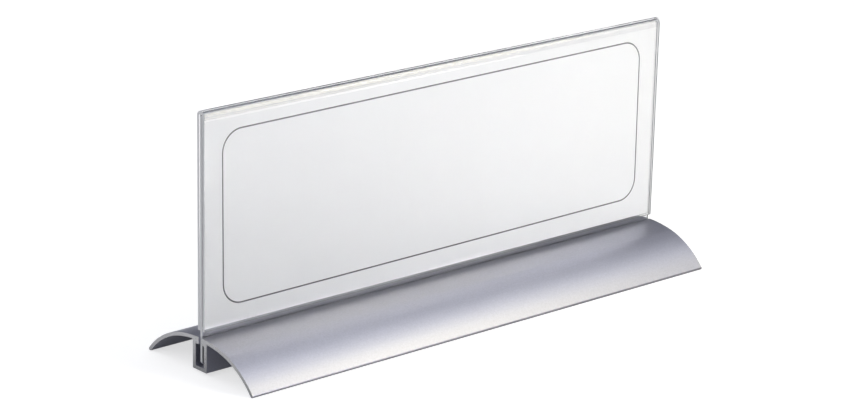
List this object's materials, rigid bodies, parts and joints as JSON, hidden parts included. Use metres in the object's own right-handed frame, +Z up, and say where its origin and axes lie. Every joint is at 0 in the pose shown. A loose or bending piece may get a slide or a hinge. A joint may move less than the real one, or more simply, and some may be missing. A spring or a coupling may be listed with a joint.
{
  "type": "desk name plate",
  "caption": "Desk name plate: a folded card between clear sheets, standing in a slotted aluminium base with two curved wings.",
  "frame": {"origin": "on the desk, under the middle of the base: centre of the lowest face of the bounding box", "axes": "+X along the plate towards its right end as read from the front, +Y from the front wing to the rear wing, +Z up"},
  "size_m": [0.299, 0.0814, 0.1287],
  "materials": {
    "anodised_aluminium": "satin bead-blasted and clear anodised, with sawn ends",
    "clear_panel": "clear cast acrylic with polished top edge",
    "white_card": "smooth white card with a thin dark printed border line",
    "clear_cover_sheet": "clear heat-bent acrylic with cut ends"
  },
  "bodies": {
    "base": {"base_extrusion": "anodised_aluminium"},
    "panel": {"centre_panel": "clear_panel"},
    "card": {"insert_card": "white_card"},
    "cover": {"clear_cover": "clear_cover_sheet"}
  },
  "joints": [
    {"name": "panel_slide", "type": "slide", "parent": "base", "child": "panel", "axis": [1, 0, 0], "range_m": [-0.3, 0.3]},
    {"name": "card_slide", "type": "slide", "parent": "panel", "child": "card", "axis": [1, 0, 0], "range_m": [-0.3, 0.3]},
    {"name": "cover_lift", "type": "slide", "parent": "panel", "child": "cover", "axis": [0, 0, 1], "range_m": [0, 0.11]}
  ]
}
